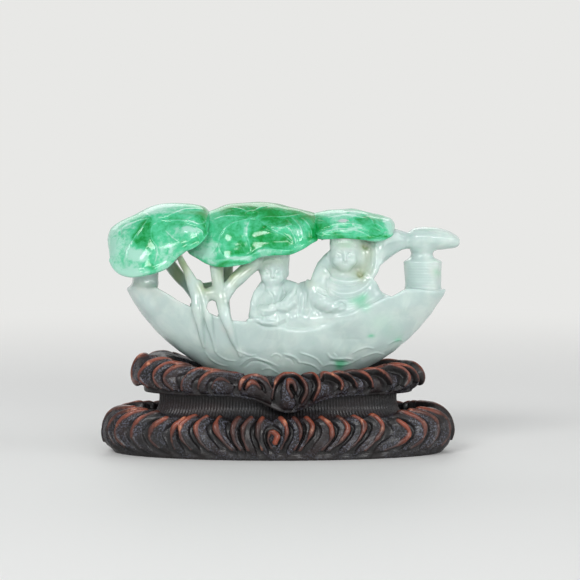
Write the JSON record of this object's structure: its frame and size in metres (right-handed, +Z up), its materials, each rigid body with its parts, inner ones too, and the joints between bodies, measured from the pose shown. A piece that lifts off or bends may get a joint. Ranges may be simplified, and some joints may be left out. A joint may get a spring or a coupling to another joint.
{
  "type": "jade boy in boat carving",
  "caption": "Pale green carved stone boat with boys under drooping lotus leaves, lifted off a dark oval wave-carved wooden stand.",
  "frame": {"origin": "centre of the wooden stand's flat foot", "axes": "+X along the boat from bow to stern, +Z up, the boys face -Y"},
  "size_m": [0.0903, 0.0398, 0.0625],
  "materials": {
    "carved_wood": "polished dark brown, dusty in the hollows",
    "green_jade": "polished",
    "pale_jade": "polished"
  },
  "bodies": {
    "stand": {"stand_foot_wave_ring": "carved_wood", "stand_foot_floor": "carved_wood", "stand_waist": "carved_wood", "stand_rim_wave_ring": "carved_wood", "stand_tray": "carved_wood"},
    "jade_carving": {"lotus_leaf_left": "green_jade", "lotus_leaf_middle": "green_jade", "lotus_leaf_right": "green_jade", "boat_hull": "pale_jade", "bow_post": "pale_jade", "outer_stem": "pale_jade", "inner_stem": "pale_jade", "middle_stem": "pale_jade", "forked_stem": "pale_jade", "stem_web": "pale_jade", "back_outer_stem": "pale_jade", "back_middle_stem": "pale_jade", "left_boy_robe": "pale_jade", "left_boy_head": "pale_jade", "left_boy_hair": "pale_jade", "left_boy_near_arm": "pale_jade", "left_boy_far_arm": "pale_jade", "left_boy_near_hand": "pale_jade", "left_boy_far_hand": "pale_jade", "right_boy_robe": "pale_jade", "right_boy_head": "pale_jade", "right_boy_hair": "pale_jade", "right_boy_near_arm": "pale_jade", "right_boy_raised_arm": "pale_jade", "right_boy_near_hand": "pale_jade", "right_boy_raised_hand": "pale_jade", "shared_drapery": "pale_jade", "right_boy_hanging_sleeve": "pale_jade", "wine_jar": "pale_jade", "jar_neck": "pale_jade", "lotus_bud": "pale_jade", "bud_stalk": "pale_jade"}
  },
  "joints": [
    {"name": "carving_lift", "type": "slide", "parent": "stand", "child": "jade_carving", "axis": [0, 0, 1], "range_m": [0, 0.03]}
  ]
}
